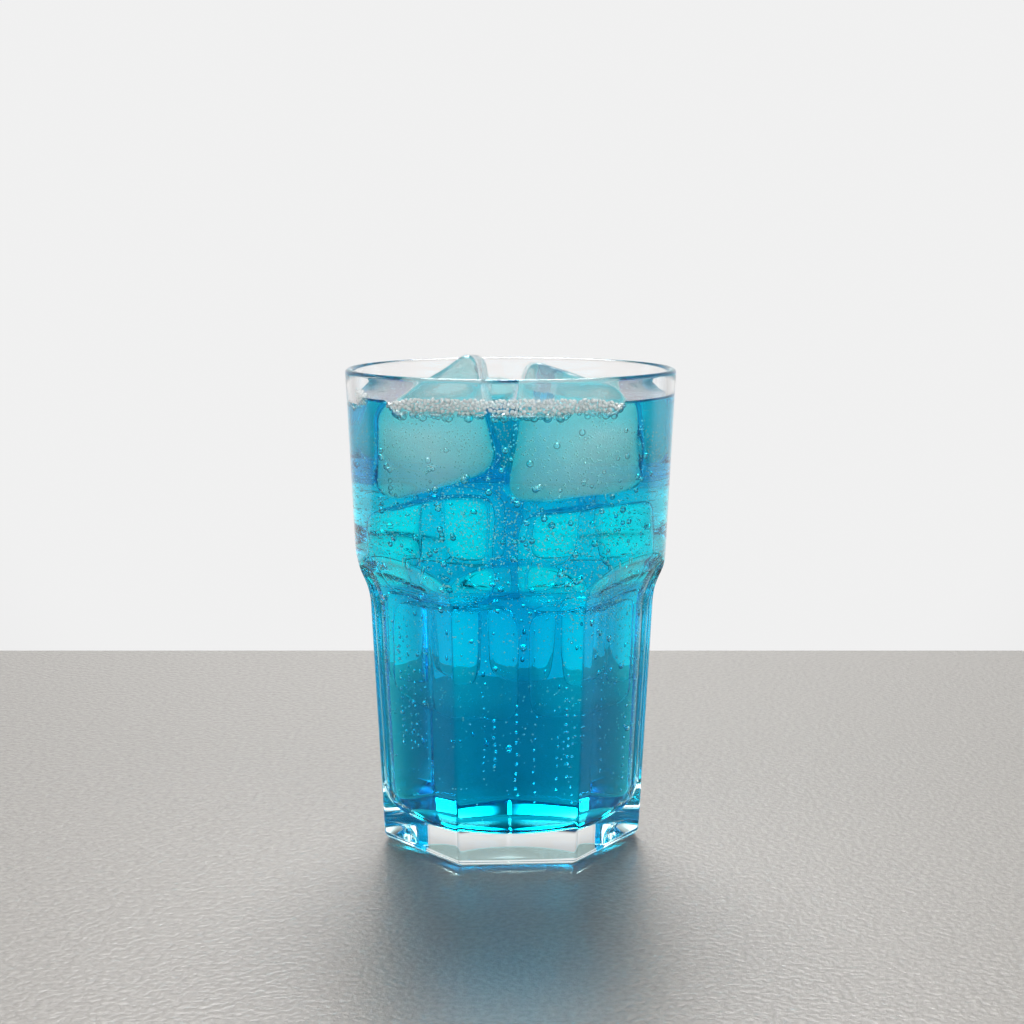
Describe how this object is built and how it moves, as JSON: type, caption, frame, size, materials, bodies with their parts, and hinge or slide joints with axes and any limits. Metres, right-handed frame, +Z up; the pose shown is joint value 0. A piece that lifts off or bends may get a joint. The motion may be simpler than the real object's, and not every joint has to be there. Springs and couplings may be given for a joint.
{
  "type": "glass of iced sports drink",
  "caption": "Clear pressed-glass tumbler with a seven-sided foot and arches, filled with blue sports drink, ice cubes and a bank of froth.",
  "frame": {"origin": "middle of the face that the glass stands on", "axes": "+Z up along the glass, -Y towards the front panel, +X to the right of someone facing it"},
  "size_m": [0.0878, 0.0878, 0.1323],
  "materials": {
    "clear_glass": "polished",
    "blue_drink": "liquid",
    "ice": "wet",
    "froth": "small wet bubbles"
  },
  "bodies": {
    "root": {"glass": "clear_glass", "drink": "blue_drink", "ice_left": "ice", "ice_right": "ice", "ice_back_left": "ice", "ice_back_right": "ice", "froth_front": "froth", "froth_side": "froth"}
  },
  "joints": []
}
